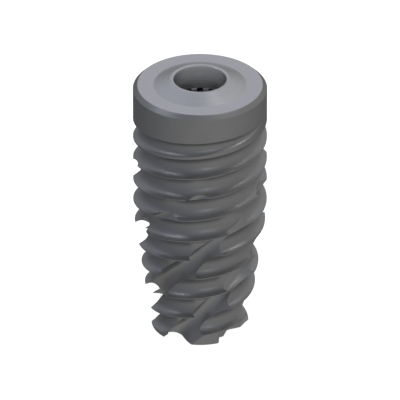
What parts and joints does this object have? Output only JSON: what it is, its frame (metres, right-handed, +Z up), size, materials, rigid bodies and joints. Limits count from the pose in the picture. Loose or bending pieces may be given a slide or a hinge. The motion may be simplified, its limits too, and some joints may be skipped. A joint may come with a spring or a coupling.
{
  "type": "dental implant",
  "caption": "Tapered bone-level dental implant with a twin-start thread, helical cutting flutes, a chamfered flat platform, a raised cone and a slotted conical socket.",
  "frame": {"origin": "centre of the flat apex face, on the surface that the implant stands on", "axes": "+Z up the implant's axis, from the apex to the platform; -Y is the front that the picture shows"},
  "size_m": [0.0048, 0.0048, 0.01],
  "materials": {
    "titanium": "fine blasted titanium, with a turned platform and bore"
  },
  "bodies": {
    "root": {"implant_body": "titanium"}
  },
  "joints": []
}
